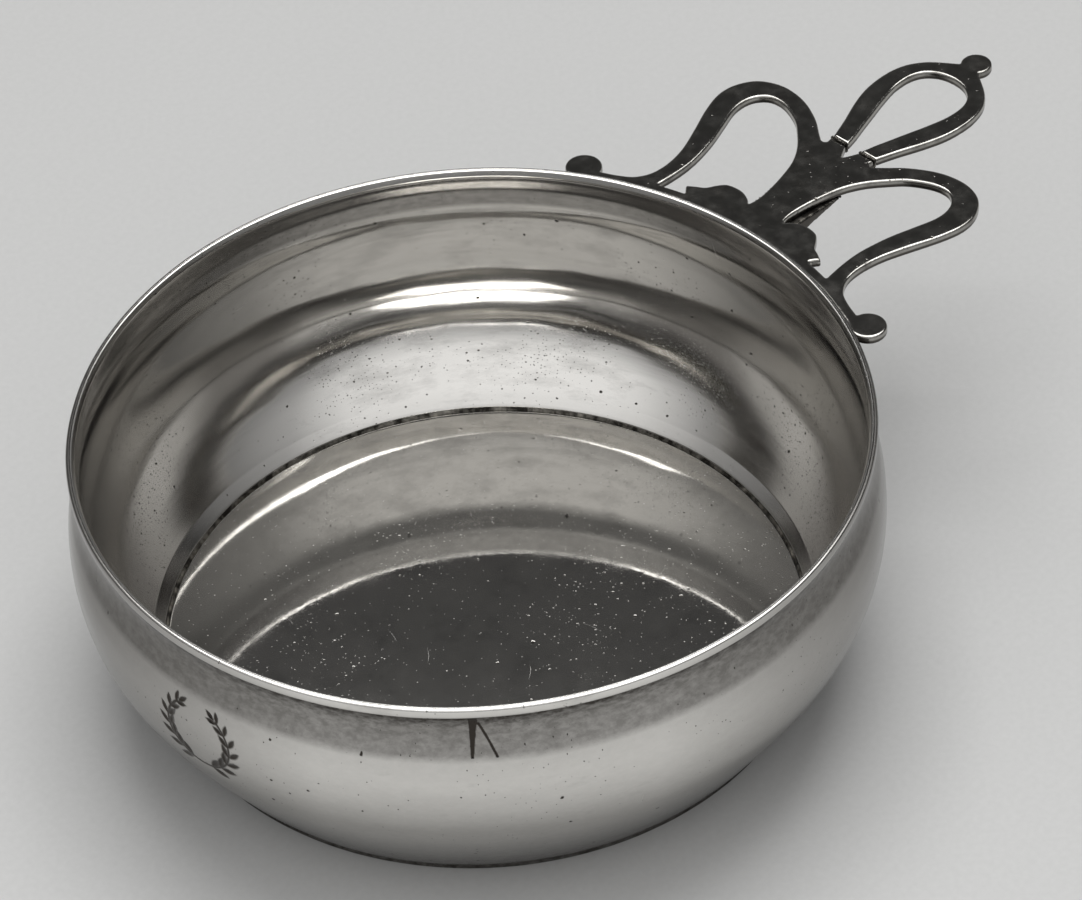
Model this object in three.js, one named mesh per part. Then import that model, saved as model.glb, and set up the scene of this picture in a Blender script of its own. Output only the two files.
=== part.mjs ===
// Silver porringer: a shallow bellied bowl with a flat openwork handle.
// Millimetres, +Z up, with the handle along +X. The pieces are drawn round the bowl's axis, and the
// whole is then moved so that the origin is at the middle of its length, on the plane of the foot.
// Nothing moves: every piece is soldered to its neighbour.

import * as THREE from 'three';

// Bowl
const HEIGHT = 47.5; // from the foot to the rim
const RIM_RADIUS = 66; // outside of the rim wire
const RIM_WIRE_DEPTH = 0.6; // how far the wire stands out from the neck
const RIM_WIRE_HEIGHT = 1.9;
const RIM_ROUNDING = 0.25; // softened inner edge of the mouth
const WALL = 0.8; // gauge of the raised sheet
const NECK_HEIGHT = 5.4; // plain band from the wire down to the belly
const NECK_WAIST = 0.3; // how far that band is drawn in at its middle
const BELLY_SWELL = 1.2; // how far the widest place stands out past the rim
const BELLY_DROP = 17.5; // from the rim down to the widest place
const WALL_LEAN = 33; // degrees from upright, where the wall meets the foot
const SHOULDER_FULLNESS = 0.45; // how long the wall stays upright above the widest place
const BELLY_FULLNESS = 0.4; // and below it
const FLARE_FULLNESS = 0.57; // how long it keeps its lean above the foot

// Foot and floor
const FOOT_RADIUS = 54.3; // outside of the foot ring
const FOOT_HEIGHT = 1.7;
const FOOT_WIDTH = 2.2; // of the face that it stands on
const FOOT_ROUNDING = 0.3; // of its lower edge
const FOOT_SETBACK = 0.6; // how far the wall overhangs the foot
const LIP_WIDTH = 0.9; // wall's lower edge, which stands on the foot and overhangs it
const LIP_HEIGHT = 1.4; // upright face round the floor
const BEVEL_HEIGHT = 1.5; // sloped band from that face up to the inner wall
const FLOOR_GAUGE = 0.8;
const FLOOR_RISE = 2; // dome of the floor, from its edge to its middle
const FLOOR_SEAM = 0.5; // width of the soldered joint round the floor

// Handle plate
const HANDLE_DROP = 1.05; // rim down to the plate's upper face
const HANDLE_GAUGE = 1.6;
const HANDLE_BEVEL = 0.25; // filed edge of the plate, all round
const STRIP_WIDTH = 2.3; // arc that lies along the rim
const EAR_RADIUS = 3.2; // round ends of that arc
const EAR_BITE = 0.2; // how much of the round the rim cuts off
const EAR_ALONG = 32; // along the rim, from the middle line
const STEM_LENGTH = 28; // rim to the mend, where the middle loop was broken off
const LEG_INSIDE = 1.45; // the loop's two legs at the mend, from the middle line
const LEG_OUTSIDE = 4.95;
const MEND_WIDTH = 0.6; // solder that joins the legs again
const LOOP_LENGTH = 31.1; // mend to the middle of the knob
const LOOP_SKEW = -1.8; // degrees, how the mended loop sits off the middle line
const KNOB_RADIUS = 2.75;
const KNOB_NECK = 2.1; // half width of the loop where the knob grows out of it

// Brace under the handle's stem
const BRACE_REACH = 18.8; // out from the rim
const BRACE_CLEAR = 0.2; // how far above the belly it stops
const BRACE_TIP = 0.3; // thickness at its outer end
const BRACE_WIDTH = 8.2; // at the neck
const BRACE_SPREAD = 10.8; // at its outer end, where the stem is as wide
const BRACE_SOLDER = 0.3;

// Fits
const FIT = 0.05; // clearance between soldered faces
const SOLDER_PROUD = 0.15; // how far the mend's solder stands out of the legs
const FILLET = 1.6; // leg of the solder fillet under the handle
const FILLET_HOLLOW = 0.35; // share of the leg that is left at the fillet's middle

// Fineness of the facets
const SIDES = 72;
const ARC_STEPS = 7;
const SPLINE_STEPS = 3;

const radians = THREE.MathUtils.degToRad;
const point = (x, y) => new THREE.Vector2(x, y);

// Silver, and the solder that holds it together
const silver = new THREE.MeshStandardMaterial({ color: 0xc8c8c4, roughness: 0.18, metalness: 1 });
const castSilver = new THREE.MeshStandardMaterial({ color: 0xa9a9a6, roughness: 0.26, metalness: 1 });
const solder = new THREE.MeshStandardMaterial({ color: 0x77756f, roughness: 0.45, metalness: 1 });

const porringer = new THREE.Group();

function addPiece(name, geometry, material, parent = porringer) {
  const mesh = new THREE.Mesh(geometry, material);
  mesh.name = name;
  parent.add(mesh);
}

// Puts an outline's points in anticlockwise order, so that its faces end up outwards.
function anticlockwise(outline) {
  return THREE.ShapeUtils.isClockWise(outline) ? [...outline].reverse() : outline;
}

// Turns a section of (radius, height) points round the bowl's axis.
function revolve(section) {
  const geometry = new THREE.LatheGeometry(anticlockwise(section), SIDES);
  geometry.rotateX(Math.PI / 2);
  return geometry;
}

// A section that doesn't touch the axis ends where it began.
const closed = (section) => [...section, section[0].clone()];

// Heights and radii that several pieces share
const neckRadius = RIM_RADIUS - RIM_WIRE_DEPTH - FIT;
const neckTop = HEIGHT - RIM_WIRE_HEIGHT;
const neckFoot = neckTop - NECK_HEIGHT;
const bellyRadius = RIM_RADIUS + BELLY_SWELL;
const bellyHeight = HEIGHT - BELLY_DROP;
const lean = radians(WALL_LEAN);
const wallFoot = FOOT_HEIGHT + FIT;
const wallFootRadius = FOOT_RADIUS + FOOT_SETBACK;
const lipRadius = wallFootRadius - LIP_WIDTH;
const floorRadius = lipRadius - FLOOR_SEAM;
const floorEdge = wallFoot + FLOOR_GAUGE;
const handleTop = HEIGHT - HANDLE_DROP;
const handleUnderside = handleTop - HANDLE_GAUGE;

// Radius of the neck's outside: a shallow hollow between the wire and the belly.
function neckRadiusAt(height) {
  const share = (height - neckFoot) / NECK_HEIGHT;
  return neckRadius - NECK_WAIST * Math.sin(Math.PI * THREE.MathUtils.clamp(share, 0, 1));
}

// Outside of the wall from the mouth to the foot, as (radius, height) points.
function wallOutside() {
  const neck = [point(neckRadius, HEIGHT)];
  const neckSteps = 4;
  for (let i = 0; i <= neckSteps; i++) {
    const height = neckTop - (NECK_HEIGHT * i) / neckSteps;
    neck.push(point(neckRadiusAt(height), height));
  }
  const shoulderHeight = neckFoot - bellyHeight;
  const shoulder = new THREE.CubicBezierCurve(
    point(neckRadius, neckFoot),
    point((neckRadius + bellyRadius) / 2, neckFoot - shoulderHeight / 3),
    point(bellyRadius, bellyHeight + SHOULDER_FULLNESS * shoulderHeight),
    point(bellyRadius, bellyHeight),
  );
  const underHeight = bellyHeight - wallFoot;
  const flare = FLARE_FULLNESS * underHeight;
  const under = new THREE.CubicBezierCurve(
    point(bellyRadius, bellyHeight),
    point(bellyRadius, bellyHeight - BELLY_FULLNESS * underHeight),
    point(wallFootRadius + flare * Math.sin(lean), wallFoot + flare * Math.cos(lean)),
    point(wallFootRadius, wallFoot),
  );
  return [...neck, ...shoulder.getPoints(3).slice(1), ...under.getPoints(9).slice(1)];
}

// Moves each point of an outline inwards by the gauge of the sheet.
function insetBy(outline, gauge) {
  return outline.map((p, i) => {
    const before = outline[Math.max(i - 1, 0)];
    const after = outline[Math.min(i + 1, outline.length - 1)];
    const along = after.clone().sub(before).normalize();
    return point(p.x + gauge * along.y, p.y - gauge * along.x);
  });
}

function bowlWall() {
  const outside = wallOutside();
  const bevelTop = wallFoot + LIP_HEIGHT + BEVEL_HEIGHT;
  const inside = insetBy(outside, WALL).filter((p) => p.y > bevelTop + WALL && p.y < HEIGHT - WALL);
  const mouth = neckRadius - WALL;
  const bevelRadius = wallFootRadius + (bevelTop - wallFoot) * Math.tan(lean) - WALL / Math.cos(lean);
  return revolve(closed([
    ...outside,
    point(lipRadius, wallFoot),
    point(lipRadius, wallFoot + LIP_HEIGHT),
    point(bevelRadius, bevelTop),
    ...inside.reverse(),
    point(mouth, HEIGHT - RIM_ROUNDING),
    point(mouth + RIM_ROUNDING, HEIGHT),
  ]));
}

// Half-round wire, flat against the neck and level with the mouth.
function rimWire() {
  const inner = neckRadius + FIT;
  const middle = HEIGHT - RIM_WIRE_HEIGHT / 2;
  const swell = new THREE.EllipseCurve(
    inner, middle, RIM_WIRE_DEPTH, RIM_WIRE_HEIGHT / 2, Math.PI / 2, -Math.PI / 2, true,
  );
  return revolve(closed(swell.getPoints(ARC_STEPS)));
}

// Domed disc that closes the bowl.
function floorDisc() {
  const rings = 5;
  const upper = [];
  const lower = [];
  for (let i = 0; i <= rings; i++) {
    const radius = (floorRadius * i) / rings;
    const dome = FLOOR_RISE * (1 - (i / rings) ** 2);
    upper.push(point(radius, floorEdge + dome));
    lower.push(point(radius, floorEdge - FLOOR_GAUGE + dome));
  }
  return revolve([...upper, ...lower.reverse()]);
}

// Solder that fills the joint round the floor, lower on the floor side.
function floorSolder() {
  const inner = floorRadius + FIT;
  const outer = lipRadius - FIT;
  return revolve(closed([
    point(inner, floorEdge - FIT),
    point(outer, wallFoot + LIP_HEIGHT - 2 * FIT),
    point(outer, wallFoot + FIT),
    point(inner, wallFoot + FIT),
  ]));
}

function footRing() {
  const inner = FOOT_RADIUS - FOOT_WIDTH;
  return revolve(closed([
    point(inner, FOOT_HEIGHT),
    point(FOOT_RADIUS, FOOT_HEIGHT),
    point(FOOT_RADIUS, FOOT_ROUNDING),
    point(FOOT_RADIUS - FOOT_ROUNDING, 0),
    point(inner, 0),
  ]));
}

// Solder in the groove between the foot and the wall above it.
function footSolder() {
  const inner = FOOT_RADIUS + FIT;
  return revolve(closed([
    point(inner, FOOT_HEIGHT),
    point(wallFootRadius - FIT, FOOT_HEIGHT),
    point(inner, FOOT_HEIGHT - FOOT_SETBACK),
  ]));
}

// A place near the rim: so far out from it, and so far along it from the middle line.
function onRim(out, along) {
  const angle = along / RIM_RADIUS;
  return point((RIM_RADIUS + out) * Math.cos(angle), (RIM_RADIUS + out) * Math.sin(angle));
}

// A place on the handle's stem and side loops: a share of the stem's length out from the rim,
// and so far across from the middle line.
const onStem = (share, across) => point(RIM_RADIUS + share * STEM_LENGTH, across);

// The same for the middle loop, with a share of its length out from the mend.
const loopStart = RIM_RADIUS + STEM_LENGTH + MEND_WIDTH;
const onLoop = (share, across) => point(loopStart + share * LOOP_LENGTH, across);

const mirrored = (points) => points.map((p) => point(p.x, -p.y)).reverse();

// A smooth line through the given places, without its last one.
function smooth(places) {
  const curve = new THREE.SplineCurve(places);
  return curve.getPoints(SPLINE_STEPS * (places.length - 1)).slice(0, -1);
}

// Places on a circle round the bowl's axis, from one place along the rim to another.
function rimArc(out, from, to, steps) {
  return Array.from({ length: steps + 1 }, (_, i) => onRim(out, from + ((to - from) * i) / steps));
}

const earOut = EAR_RADIUS - EAR_BITE;

// How far along the rim the ear's circle crosses the circle that lies so far out.
function earCrossing(out) {
  const reach = RIM_RADIUS + out;
  const middle = RIM_RADIUS + earOut;
  const cosine = (reach ** 2 + middle ** 2 - EAR_RADIUS ** 2) / (2 * reach * middle);
  return RIM_RADIUS * Math.acos(cosine);
}

// Edge of the ear, from the rim round to the outside of the strip.
function earEdge() {
  const middle = onRim(earOut, EAR_ALONG);
  const start = onRim(FIT, EAR_ALONG + earCrossing(FIT)).sub(middle).angle();
  const end = onRim(STRIP_WIDTH, EAR_ALONG - earCrossing(STRIP_WIDTH)).sub(middle).angle();
  const edge = new THREE.EllipseCurve(middle.x, middle.y, EAR_RADIUS, EAR_RADIUS, start, end, true);
  return edge.getPoints(2 * ARC_STEPS);
}

// Outer edge of one half of the plate: along the rim to the ear, back along the strip,
// round the side loop and down its notch to the leg, and in to the crotch of the stem.
function plateEdge() {
  const stripInside = rimArc(FIT, 0, EAR_ALONG + earCrossing(FIT), 2 * ARC_STEPS).slice(0, -1);
  const sideLoop = smooth([
    onRim(STRIP_WIDTH, EAR_ALONG - 1.2 * earCrossing(STRIP_WIDTH)),
    onRim(STRIP_WIDTH, 25.8), onRim(STRIP_WIDTH + 0.6, 23.1), onRim(STRIP_WIDTH + 2.6, 20.9),
    onStem(0.18, 21.75), onStem(0.34, 22.55), onStem(0.52, 24.4), onStem(0.71, 26.6), onStem(0.875, 27.8),
    onStem(1.01, 27.35), onStem(1.13, 25.2), onStem(1.19, 21.8), onStem(1.195, 18), onStem(1.16, 14.3),
    onStem(1.08, 10.2), onStem(0.995, 7.3), onStem(0.95, 5.6), onStem(0.96, LEG_OUTSIDE - 0.2),
  ]);
  const leg = [
    onStem(0.96, LEG_OUTSIDE - 0.2),
    onStem(1, LEG_OUTSIDE),
    onStem(1, LEG_INSIDE),
    onStem(0.945, LEG_INSIDE / 2),
    onStem(0.9, 0),
  ];
  return [...stripInside, ...earEdge(), ...sideLoop, ...leg];
}

// Edge of the opening between one side loop, the stem and the scalloped wing at the rim.
function sideOpening() {
  const strip = rimArc(STRIP_WIDTH, 13.6, 18.6, 2).slice(0, -1);
  const loopInside = smooth([
    onRim(STRIP_WIDTH, 18.6),
    onStem(0.135, 18.6), onStem(0.3, 18.7), onStem(0.5, 19.8), onStem(0.68, 21.4), onStem(0.82, 22.7),
    onStem(0.92, 22.85), onStem(1, 22.1), onStem(1.055, 20.4), onStem(1.065, 18.1), onStem(1.04, 15.6),
    onStem(0.985, 12.7), onStem(0.91, 10.4), onStem(0.8, 7.7), onStem(0.68, 5.8), onStem(0.535, 4.6),
    onStem(0.39, 3.85), onStem(0.28, 3.6), onStem(0.205, 3.9),
  ]);
  const wing = smooth([
    onStem(0.205, 3.9), onStem(0.24, 4.9), onStem(0.268, 6.6), onStem(0.272, 8.4), onStem(0.255, 10.2),
    onStem(0.207, 11.4), onStem(0.154, 12.4), onStem(0.125, 13.8), onStem(0.09, 15.3),
  ]);
  return [...strip, ...loopInside, ...wing, onStem(0.09, 15.3)];
}

// Cuts a plate of the handle's gauge to an outline, with filed edges, at the handle's level.
function plate(outline, openings = []) {
  const shape = new THREE.Shape(anticlockwise(outline));
  shape.holes = openings.map((opening) => new THREE.Path(opening));
  const geometry = new THREE.ExtrudeGeometry(shape, {
    depth: HANDLE_GAUGE - 2 * HANDLE_BEVEL,
    bevelSize: HANDLE_BEVEL,
    bevelOffset: -HANDLE_BEVEL,
    bevelThickness: HANDLE_BEVEL,
    bevelSegments: 1,
  });
  geometry.translate(0, 0, handleUnderside + HANDLE_BEVEL);
  return geometry;
}

function handlePlate() {
  const half = plateEdge();
  const outline = [...half, ...mirrored(half.slice(1, -1))];
  const opening = sideOpening();
  return plate(outline, [opening, mirrored(opening)]);
}

// Teardrop loop with a round knob, from one broken leg to the other.
function centreLoop() {
  const neck = Math.asin(KNOB_NECK / KNOB_RADIUS);
  const knobPlace = onLoop(1, 0);
  const knobEdge = new THREE.EllipseCurve(
    knobPlace.x, 0, KNOB_RADIUS, KNOB_RADIUS, Math.PI - neck, 0, true,
  ).getPoints(ARC_STEPS);
  const legOutside = smooth([
    onLoop(0, LEG_OUTSIDE), onLoop(0.138, 6.5), onLoop(0.273, 8.2), onLoop(0.4, 9.45), onLoop(0.514, 9.95),
    onLoop(0.627, 9.85), onLoop(0.73, 9), onLoop(0.807, 7.5), onLoop(0.868, 5.5), knobEdge[0],
  ]);
  const legInside = smooth([
    onLoop(0.813, 0), onLoop(0.807, 1.7), onLoop(0.785, 3.5), onLoop(0.736, 5.2), onLoop(0.66, 6.1),
    onLoop(0.547, 6.1), onLoop(0.418, 5.2), onLoop(0.3, 4.1), onLoop(0.18, 3), onLoop(0.087, 2.1),
    onLoop(0, LEG_INSIDE),
  ]);
  const outside = [...legOutside, ...knobEdge];
  const inside = [...legInside, onLoop(0, LEG_INSIDE)];
  return plate([
    ...outside,
    ...mirrored(outside.slice(0, -1)),
    ...mirrored(inside.slice(1)),
    ...inside,
  ]);
}

// How far the skew moves the end of a leg, shared by the two sides of the mend.
const skewShift = LEG_OUTSIDE * Math.sin(radians(Math.abs(LOOP_SKEW) / 2));

// Pad of solder across one broken leg, a little proud of it, centred on the mend.
function mendSolder(side) {
  const inner = LEG_INSIDE - SOLDER_PROUD;
  const outer = LEG_OUTSIDE + SOLDER_PROUD;
  const low = handleUnderside - SOLDER_PROUD;
  const high = handleTop + SOLDER_PROUD;
  const cut = HANDLE_BEVEL;
  const section = new THREE.Shape([
    point(inner + cut, low), point(outer - cut, low), point(outer, low + cut), point(outer, high - cut),
    point(outer - cut, high), point(inner + cut, high), point(inner, high - cut), point(inner, low + cut),
  ].map((p) => point(side * p.x, p.y)));
  const depth = MEND_WIDTH - 2 * (FIT + skewShift);
  const geometry = new THREE.ExtrudeGeometry(section, { depth, bevelEnabled: false });
  geometry.rotateX(Math.PI / 2);
  geometry.rotateZ(Math.PI / 2);
  geometry.translate(-depth / 2, 0, 0);
  return geometry;
}

// Fillet of solder that holds one half of the strip to the neck, from the brace to the ear.
function handleSolder(side) {
  const top = neckTop - FIT;
  const level = handleUnderside - FIT;
  const stripEdge = RIM_RADIUS - FIT;
  const section = [
    point(neckRadiusAt(top) + FIT, top),
    point(stripEdge, top),
    point(stripEdge, level),
    point(stripEdge + FILLET, level),
    point(neckRadius + FILLET_HOLLOW * FILLET, level - (1 - FILLET_HOLLOW) * FILLET),
    point(neckRadiusAt(level - FILLET) + 2 * FIT, level - FILLET),
    point(neckRadiusAt(level) + 2 * FIT, level),
  ];
  const from = BRACE_WIDTH / 2 + 4 * FIT;
  const to = EAR_ALONG;
  const path = new THREE.CatmullRomCurve3(
    rimArc(-RIM_RADIUS + stripEdge, side * from, side * to, 10).map((p) => new THREE.Vector3(p.x, p.y, 0)),
  );
  const shape = new THREE.Shape(section.map((p) => point(-p.y, side * (stripEdge - p.x))));
  return new THREE.ExtrudeGeometry(shape, { steps: 12, extrudePath: path, bevelEnabled: false });
}

// A wedge seen from the side, drawn with its length along X, and wider towards the brace's outer end.
function wedge(outline) {
  const geometry = new THREE.ExtrudeGeometry(new THREE.Shape(outline), { depth: 1, bevelEnabled: false });
  geometry.rotateX(Math.PI / 2);
  geometry.translate(0, 0.5, 0);
  const places = geometry.attributes.position;
  for (let i = 0; i < places.count; i++) {
    const share = (places.getX(i) - braceRoot) / (braceTip - braceRoot);
    places.setY(i, places.getY(i) * THREE.MathUtils.lerp(BRACE_WIDTH, BRACE_SPREAD, share));
  }
  geometry.computeVertexNormals();
  return geometry;
}

const braceTop = handleUnderside - BRACE_SOLDER - 2 * FIT;
const braceFoot = neckFoot + BRACE_CLEAR;
const braceRoot = neckRadius + 2 * FIT;
const braceTip = RIM_RADIUS + BRACE_REACH;

// Tapered tongue that carries the stem's load into the neck.
function stemBrace() {
  return wedge([
    point(braceRoot, braceTop),
    point(braceRoot, braceFoot),
    point(braceRoot + (braceTop - braceFoot) / 2, braceFoot),
    point(braceTip - BRACE_TIP, braceTop - BRACE_TIP),
    point(braceTip, braceTop),
  ]);
}

// Solder between the brace and the underside of the stem.
function braceSolder() {
  return wedge([
    point(braceRoot, handleUnderside - FIT),
    point(braceRoot, handleUnderside - FIT - BRACE_SOLDER),
    point(braceTip, handleUnderside - FIT - BRACE_SOLDER),
    point(braceTip, handleUnderside - FIT),
  ]);
}

addPiece('bowl_wall', bowlWall(), silver);
addPiece('rim_wire', rimWire(), silver);
addPiece('floor_disc', floorDisc(), silver);
addPiece('floor_solder', floorSolder(), solder);
addPiece('foot_ring', footRing(), silver);
addPiece('foot_solder', footSolder(), solder);
addPiece('handle_plate', handlePlate(), castSilver);
addPiece('handle_solder_left', handleSolder(1), solder);
addPiece('handle_solder_right', handleSolder(-1), solder);
addPiece('stem_brace', stemBrace(), castSilver);
addPiece('brace_solder', braceSolder(), solder);

// The solder pads take up half of the mended loop's skew, and the loop all of it.
const mendPlace = RIM_RADIUS + STEM_LENGTH + MEND_WIDTH / 2;
const mend = new THREE.Group();
mend.position.x = mendPlace;
mend.rotation.z = radians(LOOP_SKEW / 2);
addPiece('mend_solder_left', mendSolder(1), solder, mend);
addPiece('mend_solder_right', mendSolder(-1), solder, mend);
const mended = new THREE.Group();
mended.rotation.z = radians(LOOP_SKEW / 2);
addPiece('centre_loop', centreLoop().translate(-mendPlace, 0, 0), castSilver, mended);
mend.add(mended);
porringer.add(mend);

const handleEnd = onLoop(1, 0).x + KNOB_RADIUS;
porringer.position.x = (bellyRadius - handleEnd) / 2;

export default porringer;
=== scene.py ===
# %% [markdown]
# # A silver porringer
#
# A porringer is a small low bowl with one flat openwork handle. This one was raised by hand from
# sheet silver, given a wire round its mouth, a foot and a cast handle, and polished and used for
# a long time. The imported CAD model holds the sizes. It comes first, because every piece below is
# measured from it and takes the place of one of its nodes.

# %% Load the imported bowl
import math

import bmesh
import bpy
import numpy as np
from mathutils import Matrix, Quaternion, Vector, noise


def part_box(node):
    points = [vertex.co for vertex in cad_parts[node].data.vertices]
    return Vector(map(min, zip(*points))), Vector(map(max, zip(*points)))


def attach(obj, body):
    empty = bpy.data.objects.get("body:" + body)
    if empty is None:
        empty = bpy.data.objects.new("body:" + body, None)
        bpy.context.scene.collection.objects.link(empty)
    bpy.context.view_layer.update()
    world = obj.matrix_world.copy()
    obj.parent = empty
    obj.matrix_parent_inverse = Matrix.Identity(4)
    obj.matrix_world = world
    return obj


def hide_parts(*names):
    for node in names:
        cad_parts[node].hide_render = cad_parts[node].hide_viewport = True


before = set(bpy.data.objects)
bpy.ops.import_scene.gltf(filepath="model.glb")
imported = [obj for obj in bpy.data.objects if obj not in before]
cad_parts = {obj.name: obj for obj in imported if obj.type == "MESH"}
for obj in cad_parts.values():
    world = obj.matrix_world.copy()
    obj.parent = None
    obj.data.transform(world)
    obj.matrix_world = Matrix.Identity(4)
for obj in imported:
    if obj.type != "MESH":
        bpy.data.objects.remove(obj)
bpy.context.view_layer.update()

MM = 0.001
wall_low, wall_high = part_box("bowl_wall")
BOWL_X = (wall_low.x + wall_high.x) / 2
BOWL_RADIUS = (wall_high.x - wall_low.x) / 2
RIM_TOP = wall_high.z
print("nodes:", len(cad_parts), " bowl axis at x =", round(BOWL_X / MM, 2), "mm")

# %% [markdown]
# ## The camera
#
# The bowl is seen from above, across its near rim, with the handle pointing away to the right.
# A long lens from 0.9 m keeps the rim's ellipse nearly free of perspective. The camera is turned
# a little about its own axis, because the bowl's upright leans in the picture.

# %% Camera
AZIMUTH, ELEVATION, ROLL = (math.radians(d) for d in (-134.093, 42.079, -3.687))
AIM = Vector((BOWL_X + 5.64 * MM, -10.06 * MM, 43.84 * MM))
DISTANCE, LENS_MM, SENSOR_MM = 0.9, 184.5, 36


def towards(azimuth, elevation):
    """The unit vector that points out at this azimuth and elevation, in radians."""
    flat = math.cos(elevation)
    return Vector((flat * math.cos(azimuth), flat * math.sin(azimuth), math.sin(elevation)))


def add_object(name, data):
    """A new object in the scene that holds this data."""
    made = bpy.data.objects.new(name, data)
    bpy.context.scene.collection.objects.link(made)
    return made


view = bpy.data.cameras.new("photo_view")
view.sensor_width, view.lens = SENSOR_MM, LENS_MM
camera = add_object("photo_view", view)
back = towards(AZIMUTH, ELEVATION)
camera.location = AIM + DISTANCE * back
camera.rotation_mode = "QUATERNION"
camera.rotation_quaternion = (-back).to_track_quat("-Z", "Y") @ Quaternion((0, 0, 1), ROLL)
bpy.context.scene.camera = camera
bpy.context.scene.view_settings.view_transform = "Standard"
print("camera at", [round(c, 3) for c in camera.location])

# %% [markdown]
# ## Nodes and colours
#
# Both kinds of node tree, shaders and geometry, are written with one small function that adds a
# node, sets its options and fills or links its inputs. Colours are written as they look on the
# screen, in hex, and one function turns them into the linear values that a shader takes.

# %% One function for nodes, one for colours


def fill(tree, target, links):
    """Fills a node's inputs, by name or number, with a value, a socket or a node's first output."""
    for key, value in links.items():
        if isinstance(value, bpy.types.Node):
            value = value.outputs[0]
        if isinstance(value, bpy.types.NodeSocket):
            tree.links.new(value, target.inputs[key])
        else:
            target.inputs[key].default_value = value


def node(tree, kind, links=None, stops=(), **options):
    """Adds a node with its options, and fills its inputs.
    stops fills a colour ramp with pairs of a position and a hex colour or a plain amount."""
    made = tree.nodes.new(kind)
    for key, value in options.items():
        setattr(made, key, value)
    fill(tree, made, links or {})
    for _ in stops[2:]:
        made.color_ramp.elements.new(0.5)
    for mark, (position, shade) in zip(made.color_ramp.elements if stops else (), stops):
        mark.position = position
        mark.color = hex_colour(shade) if isinstance(shade, str) else (shade, shade, shade, 1)
    return made


def hex_colour(code):
    """An sRGB hex colour as linear red, green, blue and alpha."""
    shown = (int(code[i:i + 2], 16) / 255 for i in (1, 3, 5))
    return *(c / 12.92 if c <= 0.04045 else ((c + 0.055) / 1.055) ** 2.4 for c in shown), 1.0


def new_material(name):
    """An empty material, its node tree and its shader."""
    material = bpy.data.materials.new(name)
    material.use_nodes = True
    return material, material.node_tree, material.node_tree.nodes["Principled BSDF"]


# %% [markdown]
# A few kinds of node come back all the time. Each has a short name, so that a recipe below reads
# as a row of steps.

# %% Short names for common nodes


def per(size_mm):
    """The texture scale whose features are about this many millimetres across."""
    return 1000 / size_mm


def calc(tree, operation, *values, **options):
    """A math node on these values."""
    return node(tree, "ShaderNodeMath", dict(enumerate(values)), operation=operation, **options)


def vcalc(tree, operation, *values):
    """The result of a vector math node on these values."""
    made = node(tree, "ShaderNodeVectorMath", dict(enumerate(values)), operation=operation)
    return made.outputs["Value" if operation in ("DOT_PRODUCT", "LENGTH") else "Vector"]


def scaled(tree, arrow, by):
    """A vector made longer or shorter."""
    return node(tree, "ShaderNodeVectorMath", {0: arrow, "Scale": by}, operation="SCALE")


def ranged(tree, value, low, high, to_low=0.0, to_high=1.0):
    """Maps a value from one range to another, and holds it there."""
    return node(tree, "ShaderNodeMapRange", {0: value, 1: low, 2: high, 3: to_low, 4: to_high})


def mixed(tree, share, one, other, kind="RGBA"):
    """One colour or number with this share of the other in it."""
    made = node(tree, "ShaderNodeMix", {"Factor": share, "A": one, "B": other}, data_type=kind)
    return made.outputs["Result"]


def noisy(tree, place, size_mm, detail, roughness=0.5):
    """Soft noise with features of about this size."""
    return node(tree, "ShaderNodeTexNoise", {"Vector": place, "Scale": per(size_mm), "Detail": detail,
                                             "Roughness": roughness})


# %% [markdown]
# ## Floor and light
#
# The bowl stands on plain pale paper under soft light. The paper is painted a little greyer behind
# the bowl than before it: painted shade for light that falls off towards the back. Silver has next
# to no colour of its own: it shows what is round it. So the room matters as much as the metal: it is
# pale behind the camera, dim behind the bowl, an even grey low down all round, and one large soft
# light hangs overhead, a little towards the back.

# %% Paper floor
FLOOR_HALF = 6.0
# Painted shade on the paper: where it starts behind the bowl, where it ends in front, and how grey it
# gets.
FALLOFF_BACK, FALLOFF_FRONT, FALLOFF_SHADE = -0.22, 0.15, 0.34
sheet = bpy.data.meshes.new("paper_floor")
corners = [(x, y, 0) for x, y in ((-1, -1), (1, -1), (1, 1), (-1, 1))]
sheet.from_pydata([[c * FLOOR_HALF for c in corner] for corner in corners], [], [(0, 1, 2, 3)])
floor = add_object("paper_floor", sheet)
# Matt paper gives the eye a calm pale ground: no shine, a faint fibre, and painted shade that makes it
# greyer at the back.
paper, tree, shader = new_material("matt_paper")
spot = node(tree, "ShaderNodeTexCoord").outputs["Object"]
fibre = noisy(tree, spot, 1.2, 3.0)
tint = node(tree, "ShaderNodeValToRGB", {0: fibre}, [(0, "#CCCCCB"), (1, "#D6D6D5")])
nearer = vcalc(tree, "DOT_PRODUCT", spot, towards(AZIMUTH, 0))
# Painted shade: the paper is mixed greyer towards the back, standing in for light that falls off.
painted_falloff = ranged(tree, nearer, FALLOFF_BACK, FALLOFF_FRONT, FALLOFF_SHADE, 0.0)
tone = mixed(tree, painted_falloff, tint, hex_colour("#A8A8A7"))
fill(tree, shader, {"Base Color": tone, "Roughness": 0.9, "Specular IOR Level": 0.2})
sheet.materials.append(paper)

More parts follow.
